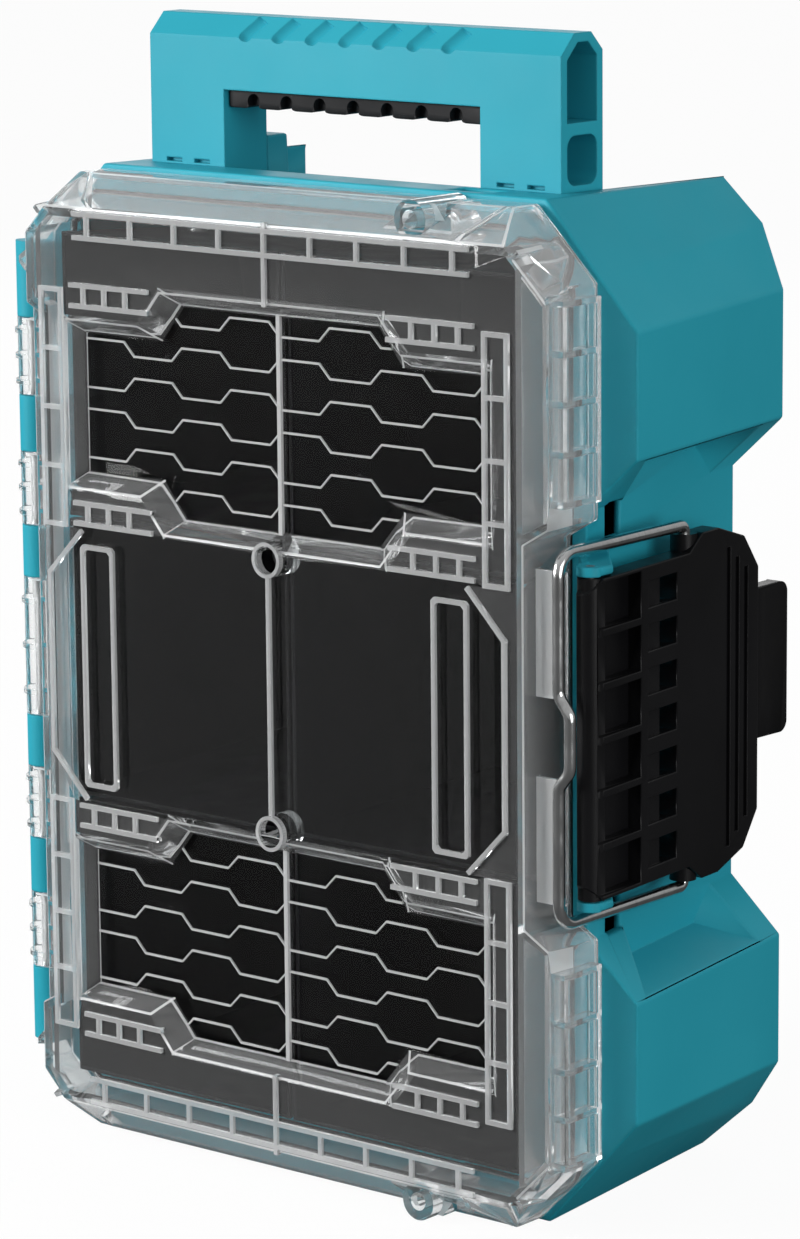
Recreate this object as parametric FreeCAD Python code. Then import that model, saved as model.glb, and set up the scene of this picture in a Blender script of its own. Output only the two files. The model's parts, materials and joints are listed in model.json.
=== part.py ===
import FreeCAD, Part
import math
import os

# An organizer case that stands upright: a deep base with six bins, a clear lid hinged on the left,
# a wire draw latch on the right and a carry handle on top.
# It is drawn about its middle: X to the right, Y to the back from the plane where lid and base meet,
# Z up from mid-height. The finished pieces are then moved so that the origin is the middle of the
# face that the case stands on.

V = FreeCAD.Vector

# Base shell
case_height = 336.0
base_depth = 100.0
base_right = 131.0
base_left = 124.0
right_lean = 15.0
left_lean = 10.0
corner_x = 95.0
corner_slope_share = 1.1
corner_knee_share = 0.6
low_corner_lean = 11.0
low_knee_rise = 2.2
roof_lean = 1.8
rear_corner_lean = 3.5
rear_knee_inset = 8.6
rear_knee_drop = 14.2
rear_corner_drop = 35.7
base_wall = 3.0
flange_thickness = 4.0
opening_half_width = 99.0
opening_half_height = 150.0
cut_overrun = 2.0

# Latch recess in the right side of the base
recess_depth = 20.0
recess_half_height = 70.0
recess_slope_rise = 18.0
ledge_front = 23.6
ledge_back = 83.4
ledge_drop = 11.0
ledge_slope_share = 0.32
ledge_splay_share = 0.85
ledge_lean_share = 1.05
window_slot_front = 12.0
window_slot_length = 9.5
window_slot_low = 59.5
window_slot_height = 11.5

# Recess for the handle, gussets behind it, rails on the back and pockets behind the padlock eyes
handle_recess_depth = 16.0
handle_recess_spread = 2.2
handle_fit = 0.3
gusset_width = 12.0
gusset_length = 12.0
gusset_height = 8.4
gusset_taper = 1.5
rail_inner_x = 96.0
rail_width = 14.0
rail_height = 10.0
rail_low_end = 84.0
rail_high_end = 136.0
pocket_half_width = 9.0
pocket_depth = 14.0
pocket_length = 9.5

# Clear lid
lid_depth = 26.0
lid_right = 116.0
lid_left = 114.0
lid_half_height = 166.5
lid_corner_x = 93.0
lid_straight_depth = 12.0
lid_side_bevel = 1.0
lid_left_bevel = 6.5
lid_top_bevel = 10.5
lid_front_corner_x = 98.0
lid_corner_slope_share = 1.0
lid_wall = 2.6
lid_gap = 1.0
lid_rib = 1.6
lid_rib_height = 1.2

# Windows of the lid
window_half_width = 86.0
window_low = 54.0
window_high = 125.0
window_step = 7.0
window_slope = 5.0
block_inner_x = 42.0
block_run = 10.0
block_height = 12.0
zigzag_period = 43.0
zigzag_flat = 17.0
zigzag_rise = 4.6
zigzag_pitch = 12.0
zigzag_first = 7.0
zigzag_width = 0.7
zigzag_height = 0.7
zigzag_rows = 6

# Middle panel of the lid
boss_radius = 6.0
boss_z = 46.0
boss_height = 2.0
boss_bore_radius = 4.7
frame_inner_x = 69.0
frame_width = 15.0
frame_half_height = 42.0
frame_corner = 1.2

# Ladder ribs of the lid
ladder_low = 146.0
ladder_high = 154.0
ladder_half_length = 84.0
ladder_pitch = 19.6
column_inner_x = 91.0
column_outer_x = 100.0
column_low = 48.0
column_high = 128.0
column_pitch = 20.0
block_rung_pitch = 9.5
block_rung_length = 7.0
block_rungs = 3
corner_fin_count = 3
corner_fin_height = 3.0
corner_fin_spread = 13.0

# Rib blocks on the lid's right side, and the notch for the latch between them
side_block_outer_x = 120.5
side_block_low = 76.0
side_block_high = 139.0
side_block_front = 1.5
side_block_back = 5.0
side_block_cells = 4
side_rib = 2.0
notch_x = 105.5
notch_half_height = 62.0
notch_slope_rise = 10.0
notch_rib_inset = 7.0
lip_outer_x = 116.8
lip_thickness = 2.0
lip_low = 13.0
lip_high = 54.0

# Padlock eyes
eye_x = 60.0
eye_z = 161.5
eye_radius = 6.4
eye_bore_radius = 3.1
eye_front = 1.0
eye_skirt = 8.0
eye_skirt_front = 6.0

# Hinge on the left
hinge_x = -121.0
hinge_forward = 8.0
knuckle_radius = 6.0
knuckle_ends = (24.5, 42.5, 68.4, 87.7, 115.0, 141.0)
knuckle_gap = 0.4
knuckle_rings = 3
knuckle_ring_radius = 6.9
hinge_pin_radius = 2.0
hinge_pin_overhang = 1.0
pin_fit = 0.05
turning_fit = 0.08
hinge_step_x = 101.5
hinge_step_half_height = 119.0
hinge_step_slope_rise = 8.0

# Seal between lid and base
seal_half_width = 102.9
seal_half_height = 153.5
seal_corner_x = 98.4
seal_width = 3.4
seal_wall = 2.2
seal_groove = 1.5
seal_clearance = 0.3

# Bins
bin_columns = 2
bin_rows = 3
bin_width = 97.0
bin_height = 97.0
bin_gap = 1.0
bin_draft = 5.0
bin_wall = 1.6
bin_mouth_gap = 0.9

# Carry handle
handle_half_length = 88.0
handle_front = 17.0
handle_thickness = 21.5
handle_height = 50.0
handle_front_bevel = 7.0
handle_rear_bevel = 6.0
handle_half_gap = 55.0
handle_gap_height = 25.5
handle_wall = 3.0
handle_web = 4.0
handle_core_depth = 21.0
handle_core_corner = 4.0
handle_core_rise = 1.5
notch_count = 7
notch_pitch = 14.5
notch_radius = 3.6
notch_depth = 1.7
notch_slant = 5.0
notch_reach_share = 0.55
grip_thickness = 6.0
grip_inset = 2.0
grip_end_gap = 0.5
scallop_radius = 8.0
scallop_depth = 0.9
dimple_radius = 2.7
dimple_depth = 3.0
dimple_rise = 2.3
foot_slot_width = 7.0
foot_slot_height = 1.3
foot_slot_depth = 2.0
foot_slot_rise = 0.2
foot_slot_pitch = 12.5

# Screws under the handle
handle_screw_x = 60.5
handle_screw_radius = 2.0
handle_screw_head_radius = 3.6
handle_screw_head_height = 2.4
handle_screw_length = 24.0
handle_screw_inset = 5.0
screw_fit = 0.05

# Latch lever
lever_pin_x = 121.5
lever_pin_forward = 12.0
lever_pin_radius = 1.5
lever_barrel_radius = 4.2
lever_front = 17.0
lever_rear = 83.0
lever_front_x = 127.0
lever_rear_x = 118.5
lever_thickness = 7.5
lever_half_height = 52.0
lever_front_corner = 5.0
lever_nose_round = 5.0
lever_wing_start = 40.0
lever_wing_front = 48.0
lever_wing_rear = 58.0
lever_wing_half_height = 57.5
lever_shoulder = 74.0
lever_shoulder_half_height = 52.5
lever_tip_half_height = 41.0
lever_edge = 3.0
lever_skin = 2.6
lever_pocket_count = 6
lever_pocket_pitch = 17.3
lever_pocket_wall = 2.5
lever_pocket_back = 10.5
lever_pocket_depth = 2.4
lever_pocket_deep_start = 7.0
lever_pocket_deep = 5.2
lever_slot_count = 7
lever_slot_pitch = 14.2
lever_slot_front = 15.0
lever_slot_middle = 24.0
lever_slot_back = 32.0
lever_slot_height = 8.6
lever_slot_recess = 1.5
groove_count = 3
groove_first = 63.0
groove_pitch = 5.5
groove_width = 2.2
groove_depth = 1.2
groove_half_height = 50.0
groove_shortening = 4.0
ear_thickness = 3.0
ear_gap = 0.6
ear_radius = 4.4
ear_back = 14.0
ear_clearance = 2.0

# Wire bail
wire_radius = 2.0
bail_x = 116.5
bail_pivot_back = 44.0
bail_bar_forward = 22.0
bail_half_height = 60.0
bail_pivot_bend = 2.4
bail_bar_bend = 7.0
bail_kink = 4.5
bail_kink_half_height = 9.0
bail_kink_rise = 6.0
bail_kink_bend = 5.0
bail_insert = 10.0
bail_barrel_radius = 4.4

# Lock on the back
lock_rise = 3.0
lock_left = 24.0
lock_right = 86.0
lock_half_height = 58.0
lock_cover_height = 8.6
lock_cover_skin = 3.6
lock_end_wall = 6.0
lock_corner = 8.0
slider_half_height = 18.0
slider_left = 52.0
slider_thickness = 4.0
slider_gap = 0.4
paddle_right = 104.0
paddle_thickness = 6.0
paddle_half_height = 26.0
paddle_height = 19.6
paddle_corner = 4.0
spring_radius = 2.1
spring_bore_radius = 1.5
lock_screw_x = (34.0, 76.0)
lock_screw_radius = 1.5
lock_screw_head_radius = 3.0
lock_screw_head_height = 1.8
lock_boss_radius = 4.0
lock_boss_length = 13.0

half_height = case_height / 2
lid_front = -lid_depth
window_floor = lid_front + window_step
hinge_y = -hinge_forward
lever_pin_y = -lever_pin_forward
bail_bar_y = -bail_bar_forward
floor_y = base_depth - base_wall
bin_mouth = window_floor + lid_wall + bin_mouth_gap
handle_back = handle_front + handle_thickness
handle_top = half_height + handle_height
gap_top = half_height + handle_gap_height
slider_y = base_depth + slider_gap
lock_screw_z = (bin_height + bin_gap) / 2
foot_z = half_height - handle_recess_depth


def box(low, high):
    """A box between its lowest and highest corners."""
    size = V(*high) - V(*low)
    return Part.makeBox(size.x, size.y, size.z, V(*low))


def loop(points):
    return Part.makePolygon(points + points[:1])


def prism(points, direction):
    """A flat outline pushed along a direction."""
    return Part.Face(loop(points)).extrude(direction)


def prism_y(outline, front, back):
    """An outline in X and Z, from a front to a back plane."""
    return prism([V(x, front, z) for x, z in outline], V(0, back - front, 0))


def prism_z(outline, low, high):
    """An outline in X and Y, from a low to a high plane."""
    return prism([V(x, y, low) for x, y in outline], V(0, 0, high - low))


def prism_x(outline, left, right):
    """An outline in Y and Z, from a left to a right plane."""
    return prism([V(left, y, z) for y, z in outline], V(right - left, 0, 0))


def side_face(a, b, c, d):
    """The face between two edges: flat, or ruled where the edges are not parallel."""
    try:
        return Part.Face(loop([a, b, c, d]))
    except Part.OCCError:
        return Part.makeRuledSurface(Part.LineSegment(a, b).toShape(), Part.LineSegment(d, c).toShape())


def frustum(front_outline, front, back_outline, back):
    """A solid between two like outlines in X and Z."""
    return skin([V(x, front, z) for x, z in front_outline], [V(x, back, z) for x, z in back_outline])


def skin(first, second):
    """A solid between two flat loops of as many points."""
    faces = [Part.Face(loop(first)), Part.Face(loop(second))]
    for i in range(len(first)):
        j = (i + 1) % len(first)
        faces.append(side_face(first[i], first[j], second[j], second[i]))
    solid = Part.Solid(Part.Shell(faces))
    if solid.Volume < 0:
        solid.reverse()
    return solid


def rod(start, direction, length, radius):
    return Part.makeCylinder(radius, length, V(*start), direction)


def rod_z(x, y, low, high, radius):
    return rod((x, y, low), V(0, 0, 1), high - low, radius)


def rod_y(x, z, front, back, radius):
    return rod((x, front, z), V(0, 1, 0), back - front, radius)


def join(shapes):
    return shapes[0].multiFuse(shapes[1:]).removeSplitter()


def both_ends(shape):
    """A shape and its mirror image about mid-height."""
    return [shape, shape.mirror(V(0, 0, 0), V(0, 0, 1))]


def raised(shape):
    """A piece of the back lock, moved up to the lock's middle."""
    shape = shape.copy()
    shape.translate(V(0, 0, lock_rise))
    return shape


def both_sides(shape):
    """A shape and its mirror image about the middle of the width."""
    return [shape, shape.mirror(V(0, 0, 0), V(1, 0, 0))]


def octagon(right, left, top, corner_right, corner_left, slope, inset=0.0):
    """A rectangle with sloping corners, moved in by an even inset."""
    shift = inset * (math.hypot(1, slope) - 1) / slope
    cr = corner_right - shift
    cl = corner_left - shift
    r = right - inset
    l = left - inset
    t = top - inset
    zr = t - slope * (r - cr)
    zl = t - slope * (l - cl)
    return [(cr, t), (r, zr), (r, -zr), (cr, -t), (-cl, -t), (-l, -zl), (-l, zl), (-cl, t)]


def cut_corner_rectangle(x_low, x_high, z_low, z_high, corner):
    return [(x_low + corner, z_low), (x_high - corner, z_low), (x_high, z_low + corner),
            (x_high, z_high - corner), (x_high - corner, z_high), (x_low + corner, z_high),
            (x_low, z_high - corner), (x_low, z_low + corner)]


def side_x(y):
    """The right side of the base leans in towards the back."""
    return base_right - right_lean * y / base_depth


def front_corners(side):
    """Points of the base's front outline on one side, from the roof down."""
    drop = corner_slope_share * (side - corner_x)
    knee_x = corner_x + (side - corner_x) * corner_knee_share
    knee_z = half_height - drop * corner_knee_share
    return [(corner_x, half_height), (knee_x, knee_z), (side, half_height - drop),
            (side, drop - half_height), (knee_x, -knee_z), (corner_x, -half_height)]


def back_corners(side):
    """Points of the base's back outline on one side, from the roof down."""
    roof = half_height - roof_lean
    low_corner = corner_x - low_corner_lean
    drop = corner_slope_share * (side - low_corner)
    low_knee = (low_corner + (side - low_corner) * corner_knee_share + low_knee_rise,
                drop * corner_knee_share - half_height - low_knee_rise)
    return [(corner_x - rear_corner_lean, roof), (side - rear_knee_inset, roof - rear_knee_drop),
            (side, roof - rear_corner_drop), (side, drop - half_height), low_knee,
            (low_corner, -half_height)]


def base_outline(y, inset=0.0):
    share = y / base_depth
    front = front_corners(base_right) + [(-x, z) for x, z in reversed(front_corners(base_left))]
    back = back_corners(base_right - right_lean)
    back += [(-x, z) for x, z in reversed(back_corners(base_left - left_lean))]
    points = [(a[0] + (b[0] - a[0]) * share, a[1] + (b[1] - a[1]) * share) for a, b in zip(front, back)]
    return inset_outline(points, inset)


def inset_outline(points, inset):
    """A clockwise outline moved in evenly."""
    moved = []
    for i, (x, z) in enumerate(points):
        x0, z0 = points[i - 1]
        x1, z1 = points[(i + 1) % len(points)]
        before = math.hypot(x - x0, z - z0)
        after = math.hypot(x1 - x, z1 - z)
        n0 = ((z - z0) / before, (x0 - x) / before)
        n1 = ((z1 - z) / after, (x - x1) / after)
        reach = inset / (1 + n0[0] * n1[0] + n0[1] * n1[1])
        moved.append((x + (n0[0] + n1[0]) * reach, z + (n0[1] + n1[1]) * reach))
    return moved


def handle_recess(grow=0.0):
    """The sunk part of the roof in which the handle stands, open to the back."""
    front = handle_front - handle_fit - grow
    back = base_depth + cut_overrun
    near = handle_half_length + handle_fit + grow
    far = near + handle_recess_spread
    knee = handle_back + handle_fit
    outline = [(-near, front), (near, front), (near, knee), (far, back), (-far, back), (-near, knee)]
    return prism_z(outline, foot_z - grow, half_height + cut_overrun)


def recess_outline(y, grow=0.0):
    floor = side_x(y) - recess_depth - grow
    near = recess_half_height + grow
    outer = floor + recess_depth * 2
    far = near + recess_slope_rise * 2
    return [(floor, -near), (outer, -far), (outer, far), (floor, near)]


def recess(grow=0.0):
    front = -cut_overrun
    back = base_depth + cut_overrun
    return frustum(recess_outline(front, grow), front, recess_outline(back, grow), back)


def ledge(grow=0.0):
    """A pocket in the sloping upper end of the latch recess, with a gently sloping floor."""
    high = recess_half_height + ledge_drop + grow
    outer = recess_depth + cut_overrun
    section = [(-grow, recess_half_height - ledge_drop), (outer, recess_half_height),
               (outer, high + outer * ledge_slope_share), (-grow, high)]
    first = []
    second = []
    for depth, z in section:
        front = ledge_front - depth * ledge_splay_share - grow
        back = ledge_back + (depth - z + recess_half_height) * ledge_lean_share + grow
        first.append(V(side_x(front) - recess_depth + depth, front, z))
        second.append(V(side_x(back) - recess_depth + depth, back, z))
    return skin(first, second)


def padlock_pocket(grow=0.0):
    low = half_height - pocket_depth - grow
    half = pocket_half_width + grow
    return box((eye_x - half, flange_thickness, low),
               (eye_x + half, flange_thickness + pocket_length + grow, half_height + cut_overrun))


def knuckle_spans():
    """Spans in Z of the base's and the lid's knuckles above mid-height, with the lid's middle one."""
    ends = (-knuckle_ends[0],) + knuckle_ends
    spans = list(zip(ends, ends[1:]))
    return spans[1::2], spans[0::2]


def base_shell():
    cavity = frustum(base_outline(flange_thickness, base_wall), flange_thickness,
                     base_outline(floor_y, base_wall), floor_y)
    cavity = cavity.cut(join([recess(base_wall), handle_recess(base_wall)]
                             + both_ends(padlock_pocket(base_wall)) + both_ends(ledge(base_wall))))
    opening = box((-opening_half_width, -cut_overrun, -opening_half_height),
                  (opening_half_width, flange_thickness + cut_overrun, opening_half_height))
    shell = frustum(base_outline(0), 0, base_outline(base_depth), base_depth)
    shell = shell.cut(Part.Compound([recess(), handle_recess()] + both_ends(padlock_pocket())))
    shell = shell.cut(Part.Compound(both_ends(ledge())))
    shell = shell.cut(cavity).cut(opening)

    added = []
    gusset_top = half_height + gusset_height
    gusset_front = handle_back + handle_fit
    outline = [(gusset_front, foot_z), (gusset_front + gusset_length, foot_z),
               (gusset_front + gusset_length - gusset_taper, gusset_top), (gusset_front, gusset_top)]
    added += both_sides(prism_x(outline, handle_half_gap, handle_half_gap + gusset_width))
    outline = [(base_depth, rail_low_end), (base_depth + rail_height, rail_low_end + rail_height),
               (base_depth + rail_height, rail_high_end - rail_height), (base_depth, rail_high_end)]
    for rail in both_sides(prism_x(outline, rail_inner_x - rail_width, rail_inner_x)):
        added += both_ends(rail)
    for low, high in knuckle_spans()[0]:
        knuckle = rod_z(hinge_x, hinge_y, low, high, knuckle_radius)
        web = box((hinge_x - knuckle_radius, hinge_y, low),
                  (hinge_x + knuckle_radius, flange_thickness, high))
        added += both_ends(knuckle) + both_ends(web)
    added += both_ends(lever_ear())
    for x in lock_screw_x:
        added += both_ends(rod_y(x, lock_screw_z, floor_y - lock_boss_length, floor_y, lock_boss_radius))
    shell = join([shell] + added)

    cuts = [rod_z(hinge_x, hinge_y, -half_height, half_height, hinge_pin_radius + pin_fit)]
    cuts += [rod_z(lever_pin_x, lever_pin_y, -half_height, half_height, lever_pin_radius + pin_fit)]
    slot_x = side_x(window_slot_front) - recess_depth
    cuts += both_ends(box((slot_x - base_wall * 2, window_slot_front, window_slot_low),
                          (slot_x + base_wall, window_slot_front + window_slot_length,
                           window_slot_low + window_slot_height)))
    eye_cut = rod_y(eye_x, eye_z, -cut_overrun, flange_thickness + cut_overrun, eye_bore_radius)
    cuts += both_ends(eye_cut)
    for x, y in handle_screw_places():
        cuts.append(rod_z(x, y, foot_z - base_wall - cut_overrun, foot_z + cut_overrun,
                          handle_screw_radius + screw_fit))
    for x in lock_screw_x:
        hole = rod_y(x, lock_screw_z, floor_y - lock_boss_length + base_wall, base_depth + cut_overrun,
                     lock_screw_radius + screw_fit)
        cuts += both_ends(hole)
    cuts.append(seal_ring(seal_width / 2, 0, seal_groove))
    return shell.cut(Part.Compound(cuts))


def lever_ear():
    """An ear of the base beside the end of the lever, with the lever's pin through it."""
    inner_x = notch_x + ear_clearance
    low = lever_half_height + ear_gap
    outline = [(inner_x, 0), (lever_pin_x - ear_radius, lever_pin_y),
               (lever_pin_x + ear_radius, lever_pin_y), (lever_pin_x + ear_radius, lever_pin_y / 2),
               (side_x(ear_back) - recess_depth, ear_back), (inner_x, ear_back)]
    plate = prism_z(outline, low, low + ear_thickness)
    return plate.fuse(rod_z(lever_pin_x, lever_pin_y, low, low + ear_thickness, ear_radius))


def seal_ring(half_thickness, front, back):
    """A ring along the middle of the seal."""
    def outline(inset):
        return octagon(seal_half_width, seal_half_width, seal_half_height, seal_corner_x, seal_corner_x,
                       lid_corner_slope_share, inset)
    outside = prism_y(outline(-half_thickness), front, back)
    return outside.cut(prism_y(outline(half_thickness), front - cut_overrun, back + cut_overrun))


def lid_outline(inset=0.0):
    return octagon(lid_right, lid_left, lid_half_height, lid_corner_x, lid_corner_x,
                   lid_corner_slope_share, inset)


def lid_front_outline(inset=0.0):
    return octagon(lid_right - lid_side_bevel, lid_left - lid_left_bevel, lid_half_height - lid_top_bevel,
                   lid_front_corner_x, lid_front_corner_x, lid_corner_slope_share, inset)


def lid_block(inset=0.0, rear=-lid_gap, grow=0.0):
    """The lid's form filled in: straight walls, then a bevel to the front."""
    knee = lid_front + lid_straight_depth
    walls = prism_y(lid_outline(inset), knee, rear)
    front = frustum(lid_front_outline(inset - grow), lid_front + inset, lid_outline(inset), knee)
    return walls.fuse(front).removeSplitter()


def window_outline(grow=0.0):
    half = window_half_width + grow
    low = window_low - grow
    high = window_high + grow
    inner = block_inner_x + grow
    outer = inner + block_run
    right = [(inner, high), (outer, high - block_height), (half, high - block_height),
             (half, low + block_height), (outer, low + block_height), (inner, low)]
    return right + [(-x, z) for x, z in reversed(right)]


def window_pocket(grow=0.0):
    """The sunk window above the middle panel, with sloping sides."""
    reach = window_slope * (cut_overrun + window_step) / window_step
    return frustum(window_outline(reach + grow), lid_front - cut_overrun,
                   window_outline(grow), window_floor + grow)


def notch(grow=0.0):
    """The notch in the lid's right side in which the latch sits."""
    x = notch_x - grow
    near = notch_half_height + grow
    far_x = side_block_outer_x + cut_overrun
    far = near + notch_slope_rise
    outline = [(x, -near), (far_x, -far), (far_x, far), (x, near)]
    return prism_y(outline, lid_front - cut_overrun * 2, cut_overrun)


def hinge_step(grow=0.0):
    """The step in the lid's left side, in front of the hinge."""
    x = grow - hinge_step_x
    near = hinge_step_half_height + grow
    far_x = -lid_left - cut_overrun
    far = near + hinge_step_slope_rise
    outline = [(x, near), (far_x, far), (far_x, -far), (x, -near)]
    return prism_y(outline, lid_front - cut_overrun, window_floor + grow)


def rib(points, width, front, back):
    """Straight ribs along a line of points in X and Z."""
    pieces = []
    for (x0, z0), (x1, z1) in zip(points, points[1:]):
        length = math.hypot(x1 - x0, z1 - z0)
        ux = (x1 - x0) / length * width / 2
        uz = (z1 - z0) / length * width / 2
        outline = [(x0 - ux - uz, z0 - uz + ux), (x1 + ux - uz, z1 + uz + ux),
                   (x1 + ux + uz, z1 + uz - ux), (x0 - ux + uz, z0 - uz - ux)]
        pieces.append(prism_y(outline, front, back))
    return pieces


def zigzag_row(z, turn):
    """One raised line across a window: flats that step up and down."""
    points = []
    x = -window_half_width - zigzag_period
    level = turn
    step = (zigzag_period / 2 - zigzag_flat)
    while x < window_half_width + zigzag_period:
        points += [(x, z + level * zigzag_rise / 2), (x + zigzag_flat, z + level * zigzag_rise / 2)]
        x += zigzag_flat + step
        level = -level
    half = zigzag_width / 2
    outline = [(x, z + half) for x, z in points] + [(x, z - half) for x, z in reversed(points)]
    return prism_y(outline, window_floor - zigzag_height, window_floor + lid_wall / 2)


def window_lines():
    """The raised lines on one window, kept inside its floor."""
    floor = prism_y(window_outline(), window_floor - cut_overrun, window_floor + lid_wall)
    rows = []
    for i in range(zigzag_rows):
        z = window_low + zigzag_first + i * zigzag_pitch
        rows.append(zigzag_row(z, 1 - 2 * (i % 2)))
    return Part.Compound(rows).common(floor).Solids


def lid_ladders():
    """Ribs that stand on the lid's front plane."""
    front = lid_front - lid_rib_height
    back = lid_front + lid_wall / 2
    ribs = []
    for z in (ladder_low, ladder_high):
        ribs += rib([(-ladder_half_length, z), (ladder_half_length, z)], lid_rib, front, back)
    rungs = int(ladder_half_length / ladder_pitch)
    for i in range(-rungs, rungs + 1):
        x = i * ladder_pitch
        ribs += rib([(x, ladder_low), (x, ladder_high)], lid_rib, front, back)
    block_low = window_low + block_height
    block_high = window_high - block_height
    outer = block_inner_x + block_run
    for z, way in ((block_low - window_slope * 2, -1), (block_high + window_slope * 2, 1)):
        for side in (-1, 1):
            ribs += rib([(side * outer, z), (side * window_half_width, z)], lid_rib, front, back)
            far = z + way * block_rung_length
            ribs += rib([(side * outer, far), (side * window_half_width, far)], lid_rib, front, back)
            for i in range(block_rungs):
                x = side * (outer + (i + 1) * block_rung_pitch)
                ribs += rib([(x, z), (x, far)], lid_rib, front, back)
    for x in (column_inner_x, column_outer_x):
        for side in (-1, 1):
            ribs += rib([(side * x, column_low), (side * x, column_high)], lid_rib, front, back)
    steps = int((column_high - column_low) / column_pitch)
    for i in range(steps + 1):
        z = column_low + i * column_pitch
        for side in (-1, 1):
            ribs += rib([(side * column_inner_x, z), (side * column_outer_x, z)], lid_rib, front, back)
    return ribs


def corner_fins():
    """Thin fins on the bevel at the lid's two upper corners."""
    room = lid_block(0.0, -lid_gap, corner_fin_height)
    room = room.common(prism_y(lid_outline(), lid_front, -lid_gap))
    fins = []
    for side, edge in ((1, lid_right), (-1, lid_left)):
        middle_x = (lid_corner_x + edge) / 2
        middle_z = lid_half_height - (edge - lid_corner_x) / 2
        for i in range(corner_fin_count):
            offset = (i - (corner_fin_count - 1) / 2) * corner_fin_spread
            start = (side * (middle_x + offset - lid_top_bevel * 2), middle_z - offset - lid_top_bevel * 2)
            end = (side * (middle_x + offset + lid_top_bevel), middle_z - offset + lid_top_bevel)
            fins += rib([start, end], lid_rib, lid_front, lid_front + lid_straight_depth)
    return Part.Compound(fins).common(room).cut(lid_block(lid_wall / 2, cut_overrun)).Solids


def side_blocks():
    """An open grid of ribs beside the latch notch."""
    inner = lid_right - lid_wall / 2
    front = lid_front + side_block_front
    back = -side_block_back
    pieces = []
    pitch = (side_block_high - side_block_low) / side_block_cells
    for i in range(side_block_cells + 1):
        z = side_block_low + i * pitch
        pieces.append(box((inner, front, z - side_rib / 2), (side_block_outer_x, back, z + side_rib / 2)))
    for y in (front, back - side_rib):
        pieces.append(box((inner, y, side_block_low), (side_block_outer_x, y + side_rib, side_block_high)))
    return pieces


def lid_shell():
    upper = window_pocket()
    inner_upper = window_pocket(lid_wall)
    inner = lid_block(lid_wall, cut_overrun)
    inner = inner.cut(Part.Compound(both_ends(inner_upper))).cut(notch(lid_wall))
    inner = inner.cut(hinge_step(lid_wall))
    shell = lid_block().cut(Part.Compound(both_ends(upper))).cut(notch()).cut(inner)

    front = lid_front - lid_rib_height
    ribs = [seal_ring(seal_wall / 2, lid_front + lid_wall / 2, -lid_gap)]
    for piece in lid_ladders() + window_lines() + side_blocks() + corner_fins():
        ribs += both_ends(piece)
    band = rib([(0, window_high + window_slope), (0, lid_half_height - lid_top_bevel)], lid_rib,
               front, lid_front + lid_wall / 2)
    pane = rib([(0, window_low), (0, window_high)], lid_rib, window_floor - lid_rib_height,
               window_floor + lid_wall / 2)
    for piece in band + pane:
        ribs += both_ends(piece)
    ribs += rib([(0, -boss_z), (0, boss_z)], lid_rib, front, lid_front + lid_wall / 2)
    ribs += both_ends(rod_y(0, boss_z, lid_front - boss_height, window_floor + lid_wall, boss_radius))
    outside = cut_corner_rectangle(frame_inner_x, frame_inner_x + frame_width,
                                   -frame_half_height, frame_half_height, frame_corner)
    inside = cut_corner_rectangle(frame_inner_x + lid_rib, frame_inner_x + frame_width - lid_rib,
                                  -frame_half_height + lid_rib, frame_half_height - lid_rib, frame_corner)
    frame = prism_y(outside, front, lid_front + lid_wall / 2)
    frame = frame.cut(prism_y(inside, front - cut_overrun, lid_front + lid_wall))
    ribs += both_sides(frame)
    x = notch_x - notch_rib_inset
    hexagon = [(x, 0), (x, notch_half_height / 2), (frame_inner_x + frame_width, boss_z)]
    for piece in rib(hexagon, lid_rib, front, lid_front + lid_wall / 2):
        for end in both_ends(piece):
            ribs += both_sides(end)
    ribs += both_ends(rod_y(eye_x, eye_z, lid_front + eye_front, -lid_gap, eye_radius))
    skirt_low = lid_half_height - lid_top_bevel
    skirt = [(eye_x - eye_radius - eye_skirt, skirt_low), (eye_x + eye_radius + eye_skirt, skirt_low),
             (eye_x + eye_radius, lid_half_height), (eye_x - eye_radius, lid_half_height)]
    ribs += both_ends(prism_y(skirt, lid_front + eye_skirt_front, -lid_gap - lid_wall))
    lip_front = bail_bar_y + wire_radius + seal_clearance * 2
    lip = box((notch_x - lid_wall, lip_front, lip_low), (lip_outer_x, lip_front + lip_thickness, lip_high))
    ribs += both_ends(lip)
    spans = knuckle_spans()[1]
    for low, high in spans:
        low = low + knuckle_gap
        high = high - knuckle_gap
        pieces = [rod_z(hinge_x, hinge_y, low, high, knuckle_radius)]
        pieces.append(box((hinge_x, hinge_y - knuckle_radius, low),
                          (-lid_left + lid_wall / 2, hinge_y + knuckle_radius / 2, high)))
        for i in range(knuckle_rings):
            z = low + (high - low) * (i + 0.5) / knuckle_rings
            pieces.append(rod_z(hinge_x, hinge_y, z - lid_rib / 2, z + lid_rib / 2, knuckle_ring_radius))
        for piece in pieces:
            ribs += both_ends(piece) if low > 0 else [piece]
    lid = join([shell] + ribs)
    cuts = [rod_z(hinge_x, hinge_y, -half_height, half_height, hinge_pin_radius + turning_fit)]
    cuts += both_ends(rod_y(eye_x, eye_z, lid_front - cut_overrun, cut_overrun, eye_bore_radius))
    cuts += both_ends(rod_y(0, boss_z, lid_front - boss_height - cut_overrun, window_floor,
                            boss_bore_radius))
    return lid.cut(Part.Compound(cuts)).cut(hinge_step())


def lid_seal():
    return seal_ring(seal_width / 2, -lid_gap + seal_clearance, seal_groove)


def hinge_pin():
    end = knuckle_ends[-1] + hinge_pin_overhang
    return rod_z(hinge_x, hinge_y, -end, end, hinge_pin_radius)


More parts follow.
